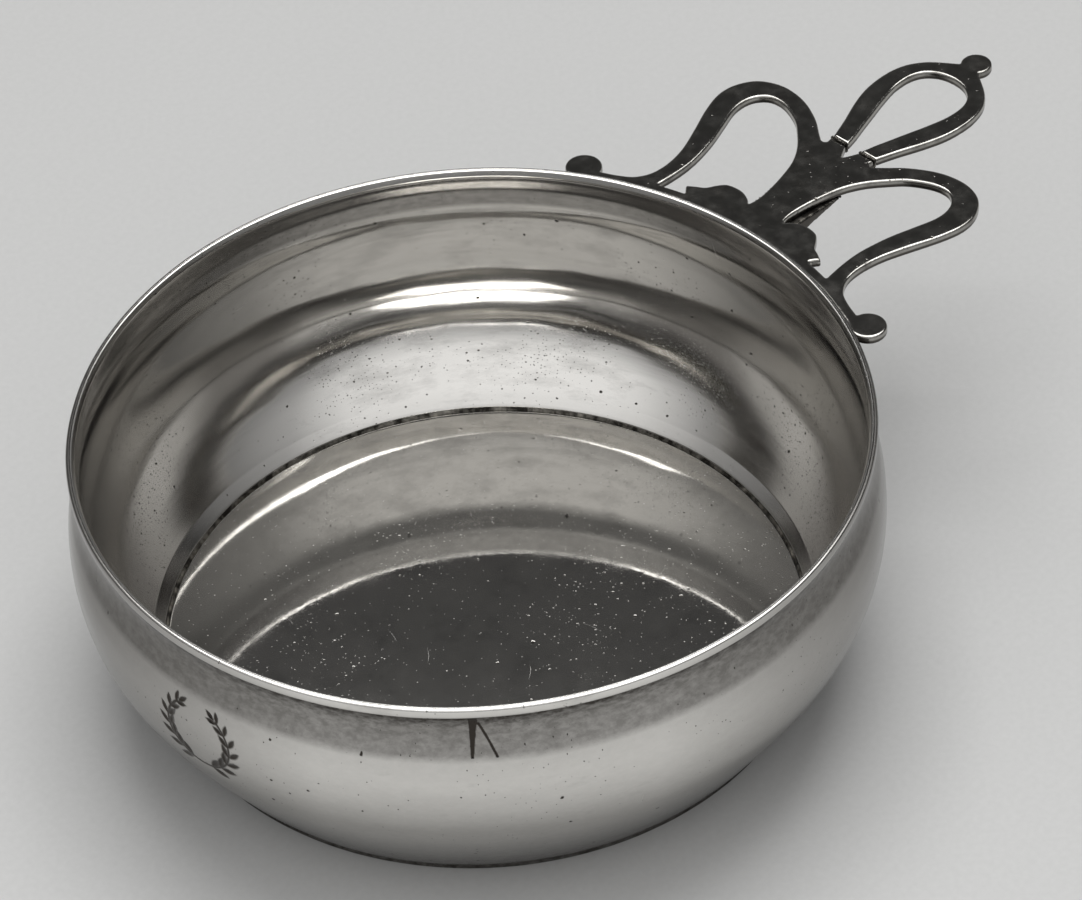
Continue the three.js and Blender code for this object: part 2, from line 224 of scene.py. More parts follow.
# %% Grey room
ROOM_SHADES = ((0.00, "#8A8A8A"), (0.30, "#6A6A6A"), (0.46, "#3E3E3E"), (0.52, "#4C4C4C"),
               (0.60, "#888888"), (0.78, "#B2B2B2"), (0.90, "#EEEEEE"), (1.00, "#FAFAFA"))
BRIGHT_SIDE = towards(math.radians(-145), math.radians(45))
LOW_SHADE, LOW_FULL, LOW_GONE = "#7C7C7C", 0.2, 0.42
ROOM_STRENGTH = 0.93
room = bpy.data.worlds.new("grey_room")
room.use_nodes = True
tree = room.node_tree
gaze = node(tree, "ShaderNodeTexCoord").outputs["Generated"]
facing = ranged(tree, vcalc(tree, "DOT_PRODUCT", gaze, BRIGHT_SIDE), -1.0, 1.0)
shade = node(tree, "ShaderNodeValToRGB", {0: facing}, ROOM_SHADES)
rise = node(tree, "ShaderNodeSeparateXYZ", {0: gaze}).outputs[2]
low_band = ranged(tree, rise, LOW_FULL, LOW_GONE, 1.0, 0.0)
walls = mixed(tree, low_band, shade, hex_colour(LOW_SHADE))
fill(tree, tree.nodes["Background"], {"Color": walls, "Strength": ROOM_STRENGTH})
bpy.context.scene.world = room

# %% Overhead light
LAMP_AT = towards(math.radians(38), math.radians(68))
LAMP_DISTANCE, LAMP_WIDTH, LAMP_HEIGHT, LAMP_WATTS = 5.0, 3.85, 3.08, 172
lamp = bpy.data.lights.new("overhead_light", "AREA")
lamp.shape, lamp.size, lamp.size_y, lamp.energy = "RECTANGLE", LAMP_WIDTH, LAMP_HEIGHT, LAMP_WATTS
holder = add_object("overhead_light", lamp)
holder.location = Vector((BOWL_X, 0, 0.03)) + LAMP_DISTANCE * LAMP_AT
holder.rotation_euler = (-LAMP_AT).to_track_quat("-Z", "Y").to_euler()
holder.visible_camera = False
print("lamp at", [round(c, 2) for c in holder.location])

# %% [markdown]
# ## Reading the CAD model
#
# The CAD pieces are made of flat facets, which a polished metal would show at once. The round
# pieces could be subdivided, but that also pulls every edge out of place. Instead one section is
# read where the plane through the handle cuts the piece, a smooth curve is run through its
# points, and only the true corners are kept, each eased off a little as a file leaves it.

# %% Sections and outlines
HAIR = 1e-6


def merged_copy(name):
    """A copy of a CAD node with its loose triangles joined into one skin."""
    skin = bmesh.new()
    skin.from_mesh(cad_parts[name].data)
    bmesh.ops.remove_doubles(skin, verts=skin.verts, dist=HAIR)
    return skin


def lines_through(chosen):
    """Puts chosen vertices in order along the edges between them, one list for each line or loop."""
    left, lines = set(chosen), []
    while left:
        beside = {v: [w for e in v.link_edges if (w := e.other_vert(v)) in left] for v in left}
        ends = [v for v in left if len(beside[v]) == 1]
        here, line = min(ends or left, key=lambda v: tuple(v.co)), []
        while here:
            left.remove(here)
            line.append(here.co.copy())
            here = next((w for w in beside[here] if w in left), None)
        lines.append(line)
    return lines


def section(name):
    """A round piece's section as points (radius, height), in order so that faces will look out."""
    skin = merged_copy(name)
    cut = [v for v in skin.verts if abs(v.co.y) < HAIR and v.co.x > BOWL_X - HAIR]
    points = [(p.x - BOWL_X, p.z) for p in lines_through(cut)[0]]
    skin.free()
    turning = sum(a[0] * b[1] - b[0] * a[1] for a, b in zip(points, points[1:] + points[:1]))
    return points[::-1] if turning > 0 else points


def outlines(name):
    """A flat plate's outlines, read where its bevel meets its edge, as loops of (x, y)."""
    skin = merged_copy(name)
    levels = sorted({round(v.co.z, 6) for v in skin.verts})
    loops = lines_through([v for v in skin.verts if abs(v.co.z - levels[-2]) < 2 * HAIR])
    skin.free()
    return [[(p.x, p.y) for p in loop] for loop in loops]


print("section points:", {n: len(section(n)) for n in ("bowl_wall", "rim_wire", "floor_disc")})

# %% [markdown]
# The curve between two corners is a natural cubic spline. Its bend changes evenly from point to
# point, and that is what keeps a reflection from breaking at each of them.

# %% Smooth curves between true corners
CLOSEST = 0.02 * MM


def spline(points):
    """A curve through the points: a function of the distance along it, and its length."""
    gaps = np.linalg.norm(np.diff(points, axis=0), axis=1)
    marks = np.concatenate([[0], np.cumsum(gaps)])
    count = len(points)
    sums, pull = np.eye(count), np.zeros((count, 2))
    for i in range(1, count - 1):
        sums[i, i - 1:i + 2] = gaps[i - 1], 2 * (gaps[i - 1] + gaps[i]), gaps[i]
        steps = (points[i + 1] - points[i]) / gaps[i], (points[i] - points[i - 1]) / gaps[i - 1]
        pull[i] = 6 * (steps[0] - steps[1])
    bend = np.linalg.solve(sums, pull)

    def at(distance):
        i = min(max(int(np.searchsorted(marks, distance)) - 1, 0), count - 2)
        b = (distance - marks[i]) / gaps[i]
        a = 1 - b
        curved = ((a ** 3 - a) * bend[i] + (b ** 3 - b) * bend[i + 1]) * gaps[i] ** 2 / 6
        return a * points[i] + b * points[i + 1] + curved

    return at, marks[-1]


def bow(a, b, c, t):
    """A point on the curve that leaves a towards b and comes to c."""
    return (1 - t) ** 2 * a + 2 * t * (1 - t) * b + t * t * c


def fair(points, corner, step, ease, closed=True, closer=None):
    """Smooths a section or outline. corner is in degrees, step and ease are lengths.
    closer gives a finer step and a test for the points that need it."""
    p = np.array(points)
    count = len(p)
    ahead, behind = np.roll(p, -1, 0) - p, p - np.roll(p, 1, 0)
    turn = np.arctan2(ahead[:, 1], ahead[:, 0]) - np.arctan2(behind[:, 1], behind[:, 0])
    turn = np.degrees(np.abs((turn + np.pi) % (2 * np.pi) - np.pi))
    inner = range(count) if closed else range(1, count - 1)
    at_corner = [i for i in inner if turn[i] > corner]
    stops = at_corner + [at_corner[0] + count] if closed else [0] + at_corner + [count - 1]
    runs = []
    for first, last in zip(stops, stops[1:]):
        at, length = spline(p[np.arange(first, last + 1) % count])
        cut = min(ease, 0.3 * length)
        start = cut if closed or first else 0
        stop = length - cut if closed or last < count - 1 else length
        pieces = max(2, math.ceil((stop - start) / step))
        marks = {start, min(start + cut, stop), max(stop - cut, start), stop}
        marks |= {start + (stop - start) * k / pieces for k in range(pieces + 1)}
        if closer:
            marks |= {m for m in np.arange(start, stop, closer[0]) if closer[1](at(m))}
        runs.append([at(m) for m in sorted(marks)])
    smooth = []
    for run, following, stop in zip(runs, runs[1:] + runs[:1], stops[1:]):
        smooth += run
        if closed or stop < count - 1:
            smooth += [bow(run[-1], p[stop % count], following[0], t) for t in (0.25, 0.5, 0.75)]
    kept = [smooth[0]]
    for q in smooth[1:]:
        if np.linalg.norm(q - kept[-1]) > CLOSEST:
            kept.append(q)
    return kept


foot_section = fair(section("foot_ring"), corner=30, step=0.4 * MM, ease=0.15 * MM)
print("foot's section:", len(foot_section), "points")

# %% [markdown]
# ## The shape of the rim
#
# The wall and the wire round it end in one rounded rim. A bevel modifier would treat them apart,
# so the top of both sections is pressed down under one crown. Inside, where lips and spoons have
# worn it, a narrow slope leads down into the bowl, and it is this slope that shows as a bright line.

# %% Crown of the rim
CROWN_MIDDLE = BOWL_RADIUS - 1.93 * MM
CROWN_OUT, CROWN_IN = 1.75 * MM, 0.75 * MM
CROWN_STEPS = (0.31, 0.28, 0.22, 0.15, 0.08, 0.0)
BEVEL_IN, BEVEL_DEPTH = 0.32 * MM, 0.95 * MM
BEVEL_BULGE = np.array((-0.02, 0.012)) * MM
WIRE_POWER = 3.4


def crowned(points):
    """Rounds over the top of the rim, and wears its inner edge to a slope."""
    low = RIM_TOP - BEVEL_DEPTH
    worn = [r < CROWN_MIDDLE and z > low for r, z in points]
    first = next((i for i, w in enumerate(worn) if w and not worn[i - 1]), 0)
    turned = points[first:] + points[:first]
    kept = [q for i, q in enumerate(turned) if not worn[(i + first) % len(points)]]
    edge = []
    if any(worn):
        under, over = np.array(points[first - 1]), np.array(points[first])
        foot = under + (over - under) * (low - under[1]) / (over[1] - under[1])
        bend = np.array((CROWN_MIDDLE - BEVEL_IN, RIM_TOP - BEVEL_IN ** 2 / (2 * CROWN_IN)))
        bulge = (foot + bend) / 2 + BEVEL_BULGE
        edge = [tuple(bow(foot, bulge, bend, t)) for t in np.linspace(0, 0.93, 11)]
        edge += [(CROWN_MIDDLE - inward * MM, RIM_TOP - (inward * MM) ** 2 / (2 * CROWN_IN))
                 for inward in CROWN_STEPS]
    capped = [(r, min(z, RIM_TOP - (r - CROWN_MIDDLE) ** 2 / (2 * CROWN_OUT))) for r, z in kept]
    return edge + capped


def fuller(points, power):
    """Squares up a half-round section, as a drawn and hammered wire is."""
    flat = min(r for r, z in points)
    depth = max(r for r, z in points) - flat
    middle = (max(z for r, z in points) + min(z for r, z in points)) / 2
    half = max(z for r, z in points) - middle
    grown = []
    for r, z in points:
        u, v = (r - flat) / depth, (z - middle) / half
        size = max(math.hypot(u, v), 1e-9)
        reach = (abs(u / size) ** power + abs(v / size) ** power) ** (-1 / power)
        share = reach if u > 0.02 else 1.0
        grown.append((flat + depth * u / size * share * min(size, 1),
                      middle + half * v / size * share * min(size, 1)))
    return grown


smooth_wire = fair(section("rim_wire"), corner=60, step=0.1 * MM, ease=0.06 * MM)
wire_section = crowned(fuller(smooth_wire, WIRE_POWER))
print("rim wire's section:", len(wire_section), "points")

# %% [markdown]
# ## Spinning a round piece
#
# A raised bowl is truly round only by the smith's eye. Geometry Nodes follow that rule here: a
# section is carried round a circle, and then pushed in and out by a soft noise that is
# longer round the bowl than up it, like the rows of hammer blows that raised it. Both faces of
# the sheet move together, so its thickness stays.

# %% The spinning tree


def new_tree(name, sockets):
    """An empty geometry tree with the named inputs, and its group input's sockets."""
    tree = bpy.data.node_groups.new(name, "GeometryNodeTree")
    for side in ("INPUT", "OUTPUT"):
        tree.interface.new_socket("Geometry", in_out=side, socket_type="NodeSocketGeometry")
    for label, kind in sockets.items():
        tree.interface.new_socket(label, in_out="INPUT", socket_type="NodeSocket" + kind)
    return tree, tree.nodes.new("NodeGroupInput").outputs


spin, given = new_tree("spin_round_axis", {
    "Path": "Object", "Axis": "Vector", "Wave Out": "Float",
    "Wave Up": "Float", "Wave Size": "Float", "Wave Stretch": "Float", "Seed": "Float",
    "Material": "Material"})
profile = node(spin, "GeometryNodeMeshToCurve", {0: given["Geometry"]})
path = node(spin, "GeometryNodeObjectInfo", {"Object": given["Path"]}).outputs["Geometry"]
swept = node(spin, "GeometryNodeCurveToMesh", {"Curve": path, "Profile Curve": profile})
closed_poles = node(spin, "GeometryNodeMergeByDistance", {0: swept, "Distance": HAIR})
place = node(spin, "GeometryNodeInputPosition")
flat = vcalc(spin, "MULTIPLY", place, (1, 1, 0))
outward = vcalc(spin, "NORMALIZE", flat)
height = vcalc(spin, "MULTIPLY", place, (0, 0, 1))
ring = scaled(spin, flat, calc(spin, "DIVIDE", 1.0, given["Wave Stretch"]))
spot = vcalc(spin, "ADD", ring, height)
fineness = calc(spin, "DIVIDE", 1.0, given["Wave Size"])
waves = node(spin, "ShaderNodeTexNoise", {"Vector": spot, "W": given["Seed"], "Scale": fineness,
                                          "Detail": 3.0, "Roughness": 0.5}, noise_dimensions="4D")
swing = calc(spin, "MULTIPLY_ADD", waves, 2.0, -1.0)
push_out = scaled(spin, outward, calc(spin, "MULTIPLY", swing, given["Wave Out"]))
push_up = node(spin, "ShaderNodeCombineXYZ", {"Z": calc(spin, "MULTIPLY", swing, given["Wave Up"])})
push = vcalc(spin, "ADD", push_out, push_up)
hammered = node(spin, "GeometryNodeSetPosition", {0: closed_poles, "Offset": push})
set_down = node(spin, "GeometryNodeTransform", {0: hammered, "Translation": given["Axis"]})
real = node(spin, "GeometryNodeRealizeInstances", {0: set_down})
dressed = node(spin, "GeometryNodeSetMaterial", {0: real, "Material": given["Material"]})
node(spin, "NodeGroupOutput", {0: dressed})
print("spinning tree:", len(spin.nodes), "nodes")

# %% [markdown]
# A tree is run on a small source mesh, here a section, and its result is copied out as a plain
# mesh. Every piece is then settled: joined, turned outwards, shaded smooth and counted.

# %% Running a tree and settling a piece


def baked(thing):
    """A plain mesh of an object, as its curve or its modifiers shape it."""
    shown = thing.evaluated_get(bpy.context.evaluated_depsgraph_get())
    return bpy.data.meshes.new_from_object(shown)


def grow(name, points, edges, tree, settings):
    """Runs a tree on a wire mesh and returns an object that holds the plain result."""
    wire = bpy.data.meshes.new(name)
    wire.from_pydata(points, edges, [])
    made = add_object(name, wire)
    modifier = made.modifiers.new(tree.name, "NODES")
    modifier.node_group = tree
    for item in tree.interface.items_tree:
        if item.in_out == "INPUT" and item.name in settings:
            modifier[item.identifier] = settings[item.name]
    result = baked(made)
    made.modifiers.clear()
    made.data = result
    return made


def settle(piece):
    """Joins doubles, turns faces outwards, shades smooth and says what the piece is made of."""
    skin = bmesh.new()
    skin.from_mesh(piece.data)
    bmesh.ops.remove_doubles(skin, verts=skin.verts, dist=1e-7)
    bmesh.ops.recalc_face_normals(skin, faces=skin.faces)
    for face in skin.faces:
        face.smooth = True
    if skin.calc_volume(signed=True) < 0:
        bmesh.ops.reverse_faces(skin, faces=skin.faces)
    gaps = sum(not e.is_manifold for e in skin.edges)
    triangles = sum(len(f.verts) - 2 for f in skin.faces)
    print(f"{piece.name}: {triangles} triangles, {gaps} open edges, "
          f"{skin.calc_volume(signed=True) / MM ** 3:.0f} cubic mm")
    skin.to_mesh(piece.data)
    skin.free()
    return piece


# %% A round piece from its section
HAMMER = {"Wave Out": 0.15 * MM, "Wave Size": 13 * MM, "Wave Stretch": 2.2, "Seed": 4.0}


def even(sides):
    """The angles of so many even sides."""
    return [math.tau * k / sides for k in range(sides)]


def circle(radius, angles):
    """A closed path with a point at each angle, for a section to be carried round."""
    drawing = bpy.data.curves.new("path", "CURVE")
    drawing.dimensions, drawing.twist_mode = "3D", "Z_UP"
    line = drawing.splines.new("POLY")
    line.points.add(len(angles) - 1)
    for point, angle in zip(line.points, angles):
        point.co = (radius * math.cos(angle), radius * math.sin(angle), 0, 1)
    line.use_cyclic_u = True
    return add_object("path", drawing)


def spun(name, points, material, angles, closed=True, **waves):
    """A round piece from a smooth section."""
    start = max(r for r, z in points)
    wire = [(r - start, -z, 0) for r, z in points]
    edges = [(i, i + 1) for i in range(len(wire) - 1)] + ([(len(wire) - 1, 0)] if closed else [])
    path = circle(start, angles)
    settings = HAMMER | {"Path": path, "Axis": (BOWL_X, 0, 0), "Wave Up": 0.0,
                         "Material": material} | waves
    piece = settle(grow(name, wire, edges, spin, settings))
    bpy.data.objects.remove(path)
    return piece


# %% [markdown]
# ## Sterling silver, raised and polished
#
# Silver is the whitest of metals. Polished by hand over many years it is a mirror that is never
# quite even: the cloth leaves long low waves round the bowl, thin scratches lie across them, grey
# smears and dark pits stay in the surface, and grime stays where no cloth reaches: under the rim
# wire, over the foot and in the seam of the floor. A thin dark film lies on the neck, and painted
# shade darkens the lower belly and the two flanks, for darker reflections there.

# %% Scratches and specks


def cells(tree, place, cell_mm):
    """The sockets of a pattern of random cells, and the chances that each cell is given."""
    made = node(tree, "ShaderNodeTexVoronoi", {"Vector": place, "Scale": per(cell_mm)},
                voronoi_dimensions="2D").outputs
    return made, node(tree, "ShaderNodeSeparateColor", {0: made["Color"]}).outputs


def scratches(tree, place, cell_mm, length, width, bend, keep):
    """A mask of short thin scratches, at most one to a cell. Lengths are in parts of a cell."""
    cell, chance = cells(tree, place, cell_mm)
    local = vcalc(tree, "SUBTRACT", place, cell["Position"])
    angle = calc(tree, "MULTIPLY", chance[0], math.tau)
    turned = node(tree, "ShaderNodeVectorRotate", {"Vector": local, "Angle": angle},
                  rotation_type="Z_AXIS")
    axes = node(tree, "ShaderNodeSeparateXYZ", {0: scaled(tree, turned, per(cell_mm))}).outputs
    along = calc(tree, "MULTIPLY", axes[0], axes[0])
    sag = calc(tree, "MULTIPLY_ADD", along, bend, axes[1])
    thin = ranged(tree, calc(tree, "ABSOLUTE", sag), width, 0.3 * width)
    short = ranged(tree, along, length ** 2, 0.2 * length ** 2)
    some = calc(tree, "LESS_THAN", chance[1], keep)
    return calc(tree, "MULTIPLY", calc(tree, "MULTIPLY", thin, short), some)


def specks(tree, place, cell_mm, small, large, keep):
    """A mask of round specks, at most one to a cell. Radii are in parts of a cell."""
    cell, chance = cells(tree, place, cell_mm)
    some = calc(tree, "LESS_THAN", chance[0], keep)
    size = ranged(tree, chance[1], 0.0, 1.0, small, large)
    edge = calc(tree, "DIVIDE", cell["Distance"], size)
    return calc(tree, "MULTIPLY", ranged(tree, edge, 1.0, 0.5), some)


# %% [markdown]
# Textures on a round bowl need places that go round with it. The wall is unrolled like a label:
# the turn round the axis gives one direction, the way up the wall the other.

# %% Places on the bowl


def bowl_places(tree):
    """Sockets that say where a point of the bowl is."""
    held = node(tree, "ShaderNodeTexCoord").outputs["Object"]
    centred = node(tree, "ShaderNodeMapping", {"Vector": held, "Location": (-BOWL_X, 0, 0)})
    flat = vcalc(tree, "MULTIPLY", centred, (-1, -1, 0))
    inward = vcalc(tree, "NORMALIZE", flat)
    axes = node(tree, "ShaderNodeSeparateXYZ", {0: flat}).outputs
    height = node(tree, "ShaderNodeSeparateXYZ", {0: centred}).outputs[2]
    up_wall = calc(tree, "ADD", vcalc(tree, "LENGTH", flat), height)
    turn = calc(tree, "ARCTAN2", axes[1], axes[0])
    round_by = calc(tree, "MULTIPLY", turn, BOWL_RADIUS)
    unrolled = node(tree, "ShaderNodeCombineXYZ", {"X": round_by, "Y": up_wall})
    normal = node(tree, "ShaderNodeNewGeometry").outputs["Normal"]
    inside = vcalc(tree, "DOT_PRODUCT", inward, normal)
    return {"centred": centred.outputs[0], "inward": inward, "up_wall": up_wall, "height": height,
            "unrolled": unrolled.outputs[0], "inside": inside}


def along_ring(tree, at, stretch):
    """A place whose textures are stretched so many times round the bowl."""
    ring = scaled(tree, at["inward"], BOWL_RADIUS / stretch)
    climb = node(tree, "ShaderNodeCombineXYZ", {"Z": at["up_wall"]})
    return vcalc(tree, "ADD", ring, climb)


# %% [markdown]
# Darkness follows the height: grime is thick under the rim wire and at the foot, and a thin dark
# film lies on the neck, outside and in. Above the foot, painted shade darkens the lower belly for the
# shadowed table that it mirrors. Each list below gives pairs of a height, as a share of the bowl's,
# and an amount. The two flanks of the bowl, as the camera sees them, are painted darker too, as
# painted shade for darker reflections there, and low inside the flanks this shade is at its thickest.

# %% Grime
# Outside: grime at the foot and under the wire; from the foot up to mid belly, painted shade for the
# mirrored shadowed table.
GRIME_AND_SHADE_OUTSIDE = ((0.0, 0.88), (0.05, 0.82), (0.1, 0.74), (0.16, 0.56), (0.26, 0.32), (0.36, 0.2),
                 (0.7, 0.16), (0.765, 0.2), (0.795, 0.62), (0.9, 0.72), (0.93, 0.85), (0.955, 1.0),
                 (0.966, 0.2), (1.0, 0.0))
GRIME_INSIDE = ((0.0, 0.6), (0.06, 0.5), (0.074, 0.1), (0.12, 0.0), (0.84, 0.0), (0.86, 0.52),
                (0.965, 0.52), (0.976, 0.0))
# Painted shade: the two flanks, as the camera sees them, are darker outside and low inside, for darker
# reflections there.
SHADED_FLANK = towards(AZIMUTH + math.pi / 2, 0)
FLANK_SHADE, INNER_FLANK_SHADE, LOW_FLANK_SHADE = 0.75, 0.65, 0.4


def grime_and_shade(tree, at):
    """Grime and painted shade by height, for both faces, and painted shade on the two flanks."""
    level = calc(tree, "DIVIDE", at["height"], RIM_TOP)
    outside = node(tree, "ShaderNodeValToRGB", {0: level}, GRIME_AND_SHADE_OUTSIDE)
    inside = node(tree, "ShaderNodeValToRGB", {0: level}, GRIME_INSIDE)
    face = calc(tree, "GREATER_THAN", at["inside"], 0.0)
    film = mixed(tree, face, outside, inside, "FLOAT")
    patches = noisy(tree, along_ring(tree, at, 2), 1, 4.0, 0.7)
    grime_and_low_shade = calc(tree, "MULTIPLY", film, ranged(tree, patches, 0.35, 0.62, 0.85, 1.1))
    # Painted shade on the flanks, across the camera's view.
    sideways = calc(tree, "ABSOLUTE", vcalc(tree, "DOT_PRODUCT", at["inward"], SHADED_FLANK))
    flank_shade = ranged(tree, sideways, 0.4, 0.95, 0.0, FLANK_SHADE)
    # Painted shade at its thickest low inside the flanks.
    curve = ranged(tree, sideways, 0.88, 0.98, 0.0, LOW_FLANK_SHADE)
    low = ranged(tree, level, 0.5, 0.75, 1.0, 0.0)
    kept = calc(tree, "MULTIPLY_ADD", curve, low, INNER_FLANK_SHADE)
    flank_shade = calc(tree, "MULTIPLY", flank_shade, mixed(tree, face, 1.0, kept, "FLOAT"))
    clear = calc(tree, "SUBTRACT", 1.0, grime_and_low_shade)
    return calc(tree, "MULTIPLY_ADD", flank_shade, clear, grime_and_low_shade)


# %% [markdown]
# All silver shares one recipe. What differs is how worn, how pitted and how dusty a piece is, and
# whether it was raised, and so goes round the axis, or lies flat.

# %% Pits and dust
CROWDED_PITS = ((0.8, 0.06, 0.2), (2.3, 0.03, 0.12))
DUST_COLOUR = "#B4B2AD"


def pits(tree, at, place, raised, share):
    """A mask of ragged dark pits: a few alone, and fine ones in crowds, mostly inside the bowl."""
    cluster = noisy(tree, at["centred"], 26, 1.0)
    crowd = ranged(tree, cluster, 0.46, 0.6, 0.1 * share, 1.8 * share)
    if raised:
        crowd = calc(tree, "MULTIPLY", crowd, ranged(tree, at["inside"], -0.1, 0.1, 0.15, 1.0))
    wander = noisy(tree, place, 0.7, 1.0).outputs["Color"]
    ragged = vcalc(tree, "MULTIPLY_ADD", wander, (0.4 * MM, 0.4 * MM, 0), place)
    pit = specks(tree, ragged, 8, 0.022, 0.055, share)
    for cell_mm, small, large in CROWDED_PITS:
        pit = calc(tree, "MAXIMUM", pit, specks(tree, ragged, cell_mm, small, large, crowd))
    return pit


def dusting(tree, place, smears, share):
    """How much dust lies on a piece: a thin film, fine specks and a few coarse ones."""
    fine = specks(tree, place, 2.2, 0.035, 0.075, share)
    coarse = specks(tree, place, 7, 0.012, 0.026, 0.5)
    film = ranged(tree, smears, 0.3, 0.7, 0.02, 0.09)
    return calc(tree, "MAXIMUM", calc(tree, "MULTIPLY_ADD", fine, 0.4, film), coarse)


# %% Worn silver


def silver(name, clean, tarnish, roughness, raised, smear_mm, stain, pit_share, streaks, grain,
           scratch_share, dust_share=0.0, tarnish_and_shade_below=0.0):
    """Worn silver: wavy polish, scratches, soft smears and dark pits, with grime, painted shade or dust
    where asked.
    Below the height tarnish_and_shade_below the sides are darker: tarnish where no cloth has reached,
    and painted shade under the edge."""
    material, tree, shader = new_material(name)
    at = bowl_places(tree)
    place = at["unrolled"] if raised else at["centred"]
    smears = noisy(tree, along_ring(tree, at, 2.5) if raised else place, smear_mm, 7.0, 0.65)
    pit = pits(tree, at, place, raised, pit_share)
    dark = calc(tree, "MAXIMUM", ranged(tree, smears, 0.46, 0.72, 0.0, stain), pit)
    if tarnish_and_shade_below:
        # Painted shade and tarnish: the sides below this height are darkened.
        side = ranged(tree, at["height"], tarnish_and_shade_below, tarnish_and_shade_below - 0.25 * MM, 0.0, 0.9)
        dark = calc(tree, "MAXIMUM", dark, side)
    if raised:
        groove = node(tree, "ShaderNodeAttribute", attribute_name="engraved").outputs["Fac"]
        # Grime, with painted shade low outside and on the flanks, darkens the raised wall.
        dark = calc(tree, "MAXIMUM", dark, grime_and_shade(tree, at))
        dark = calc(tree, "MULTIPLY_ADD", groove, 0.9, dark, use_clamp=True)
    colour = mixed(tree, dark, hex_colour(clean), hex_colour(tarnish))
    metal = 1.0
    if dust_share:
        dust = dusting(tree, place, smears, dust_share)
        colour = mixed(tree, dust, colour, hex_colour(DUST_COLOUR))
        metal = calc(tree, "SUBTRACT", 1.0, dust)
    polish = noisy(tree, along_ring(tree, at, 12) if raised else place, 2.4, 2.0)
    rough = ranged(tree, polish, 0.35, 0.7, roughness, 1.6 * roughness)
    rough = calc(tree, "MULTIPLY_ADD", dark, 0.12, rough)
    scratch = scratches(tree, place, 8, 0.26, 0.006, 0.6, scratch_share)
    rough = calc(tree, "MULTIPLY_ADD", scratch, 0.2, rough)
    if raised:
        wear = ranged(tree, at["height"], RIM_TOP - 0.9 * MM, RIM_TOP - 0.4 * MM, 0.0, 0.1)
        rough = calc(tree, "ADD", rough, wear)
    uneven = calc(tree, "MULTIPLY", noisy(tree, at["centred"], 1.5, 3.0), grain)
    ridges = calc(tree, "MULTIPLY_ADD", polish, streaks, uneven)
    relief = calc(tree, "SUBTRACT", ridges, pit)
    bump = node(tree, "ShaderNodeBump", {"Height": relief, "Distance": 0.02 * MM, "Strength": 1.0})
    fill(tree, shader, {"Base Color": colour, "Metallic": metal, "Roughness": rough, "Normal": bump})
    return material


# Raised silver gives the eye a bright, slightly wavy mirror with dark films where no cloth reaches, and
# painted shade low on the belly and on the two flanks.
polished = silver("raised_sterling_silver", "#EEECE8", "#3F3B37", roughness=0.06, raised=True,
                  smear_mm=5, stain=0.3, pit_share=0.32, streaks=0.4, grain=0.0, scratch_share=0.03)
print("made", polished.name)

# %% [markdown]
# ## The wall
#
# The wall carries the whole character of the bowl: an upright neck, a rounded shoulder and belly,
# and a long slope in to the foot. It is spun from its smooth section. Low down its inner face is
# a little hollow, and that places the lower reflections. Where the engraving and an old split in
# the neck will be cut, the section and the circle have closer points. Closer points all round would
# do as well, but would take many times as many squares.

# %% Bowl wall
SPRAY_AT = math.radians(182.6)
SPRAY_HEIGHT, SPRAY_HALF = 29.0 * MM, 9.2 * MM
SPLIT_AT = math.radians(-136.5)
SPLIT_LOW, SPLIT_HIGH = 37.3 * MM, 44.7 * MM
HOLLOW_AT, HOLLOW_BELOW, HOLLOW_ABOVE, HOLLOW_DEPTH = 11 * MM, 6.4 * MM, 13 * MM, 0.6 * MM
COARSE_SIDES, SPRAY_SIDES, SPLIT_SIDES, FINE_STEP = 202, 114, 35, 0.19 * MM
rough_wall = section("bowl_wall")


def inside_by(point):
    """How far a point of the wall's section lies in from its outer face, at the same height."""
    r, z = point
    crossed = [a[0] + (b[0] - a[0]) * (z - a[1]) / (b[1] - a[1])
               for a, b in zip(rough_wall, rough_wall[1:] + rough_wall[:1])
               if (a[1] - z) * (b[1] - z) < 0]
    return max(crossed, default=r) - r


def finely_cut(point):
    """True on the outside of the section, at the heights of the engraving and of the split."""
    engraved = abs(point[1] - SPRAY_HEIGHT) < SPRAY_HALF
    return inside_by(point) < 0.4 * MM and (engraved or SPLIT_LOW < point[1] < SPLIT_HIGH)


def hollowed(points):
    """Hollows the inner face a little low down, where the hammer stretched the sheet."""
    moved = []
    for r, z in points:
        u = max(-1, min(1, (z - HOLLOW_AT) / (HOLLOW_BELOW if z < HOLLOW_AT else HOLLOW_ABOVE)))
        deep = math.cos(u * math.pi / 2) if u < 0 else 0.5 + 0.5 * math.cos(u * math.pi)
        moved.append((r + HOLLOW_DEPTH * deep, z) if inside_by((r, z)) > 0.5 * MM else (r, z))
    return moved


smooth_wall = fair(rough_wall, corner=12, step=0.95 * MM, ease=0.14 * MM, closer=(FINE_STEP, finely_cut))
wall_section = crowned(hollowed(smooth_wall))
half_turn = SPRAY_HALF * 1.15 / BOWL_RADIUS
rest_turn = math.tau - 2 * half_turn
coarse = [SPRAY_AT + half_turn + rest_turn * k / COARSE_SIDES for k in range(COARSE_SIDES)]
fine = [SPRAY_AT - half_turn + 2 * half_turn * k / SPRAY_SIDES for k in range(SPRAY_SIDES)]
split = [SPLIT_AT + (0.17 * k - 1) * MM / BOWL_RADIUS for k in range(SPLIT_SIDES)]
coarse = [a for a in coarse if not split[0] - 0.003 < a - math.tau < split[-1] + 0.003]
wall = spun("raised_wall", wall_section, polished, sorted(a % math.tau for a in coarse + fine + split))

# %% [markdown]
# On the side away from the handle the wall is engraved with a small spray of leaves, a common
# ornament on old silver. A texture could darken the place, but a graver leaves real cuts with two
# bright sides, so the fine squares of the wall are pressed in. Each leaf is one V-shaped cut,
# widest and deepest in its middle, and the cuts keep some dark tarnish. The old split in the neck
# is cut in the same way.

